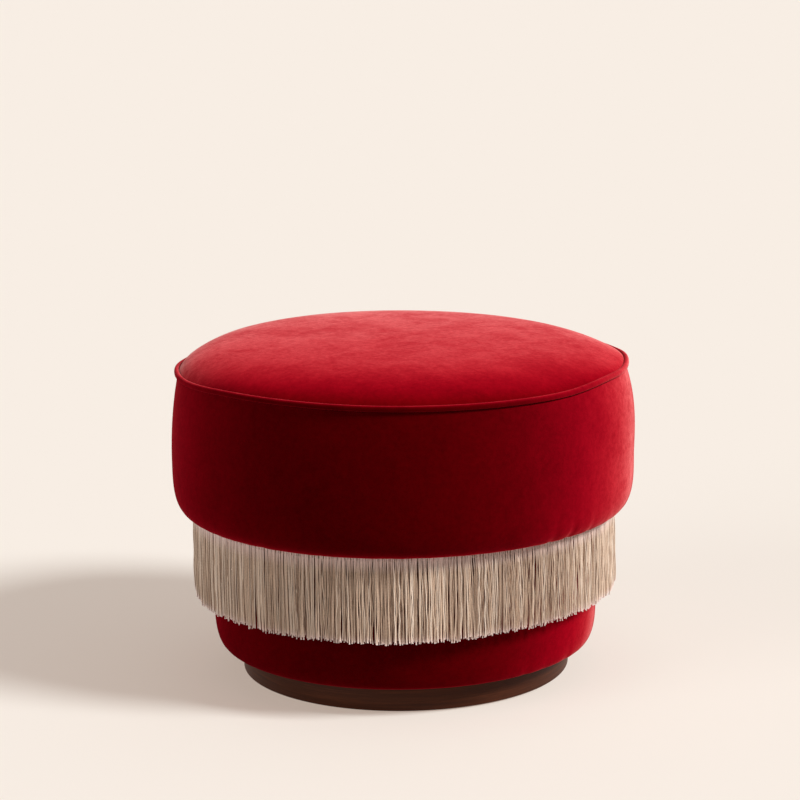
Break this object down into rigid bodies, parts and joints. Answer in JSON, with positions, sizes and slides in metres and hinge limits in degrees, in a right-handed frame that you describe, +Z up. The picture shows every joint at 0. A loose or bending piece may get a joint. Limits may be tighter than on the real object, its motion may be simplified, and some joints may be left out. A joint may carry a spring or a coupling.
{
  "type": "tuffet",
  "caption": "Round two-tier upholstered footstool with a domed piped velvet seat, a thread fringe, a narrower velvet drum and a dark wood plinth.",
  "frame": {"origin": "on the floor under the middle of the tuffet", "axes": "+Z up, through the middle of the seat; the tuffet is round, so +X and +Y are any two directions square to each other, with -Y towards the viewer of the picture"},
  "size_m": [0.6, 0.6, 0.441],
  "materials": {
    "velvet": "short cut pile",
    "fringe_yarn": "soft satin thread",
    "stained_wood": "dark stain, satin",
    "plywood": "raw",
    "softwood": "raw",
    "fibreboard": "raw",
    "foam": "open cell foam",
    "wadding": "fluffy",
    "zinc_steel": "zinc plated",
    "black_cloth": "non-woven",
    "glide_plastic": "matte"
  },
  "bodies": {
    "root": {"seat_top_cover": "velvet", "seat_piping": "velvet", "seat_side_cover": "velvet", "seat_wadding": "wadding", "seat_top_foam": "foam", "seat_base_foam": "foam", "seat_board": "plywood", "fringe_heading": "fringe_yarn", "fringe_threads": "fringe_yarn", "drum_cover": "velvet", "drum_foam": "foam", "drum_shell": "plywood", "drum_top_board": "plywood", "drum_bottom_board": "plywood", "plinth_upper_core": "fibreboard", "plinth_lower_core": "fibreboard", "plinth_band": "stained_wood", "base_cloth": "black_cloth", "drum_post_1": "softwood", "drum_post_2": "softwood", "drum_post_3": "softwood", "drum_post_4": "softwood", "drum_post_5": "softwood", "drum_post_6": "softwood", "top_screw_1": "zinc_steel", "top_screw_2": "zinc_steel", "top_screw_3": "zinc_steel", "top_screw_4": "zinc_steel", "top_screw_5": "zinc_steel", "top_screw_6": "zinc_steel", "bottom_screw_1": "zinc_steel", "bottom_screw_2": "zinc_steel", "bottom_screw_3": "zinc_steel", "bottom_screw_4": "zinc_steel", "bottom_screw_5": "zinc_steel", "bottom_screw_6": "zinc_steel", "seat_bolt_1": "zinc_steel", "seat_bolt_2": "zinc_steel", "seat_bolt_3": "zinc_steel", "seat_bolt_4": "zinc_steel", "seat_washer_1": "zinc_steel", "seat_washer_2": "zinc_steel", "seat_washer_3": "zinc_steel", "seat_washer_4": "zinc_steel", "seat_nut_1": "zinc_steel", "seat_nut_2": "zinc_steel", "seat_nut_3": "zinc_steel", "seat_nut_4": "zinc_steel", "plinth_screw_1": "zinc_steel", "plinth_screw_2": "zinc_steel", "plinth_screw_3": "zinc_steel", "plinth_screw_4": "zinc_steel", "glide_1": "glide_plastic", "glide_2": "glide_plastic", "glide_3": "glide_plastic", "glide_4": "glide_plastic"}
  },
  "joints": []
}
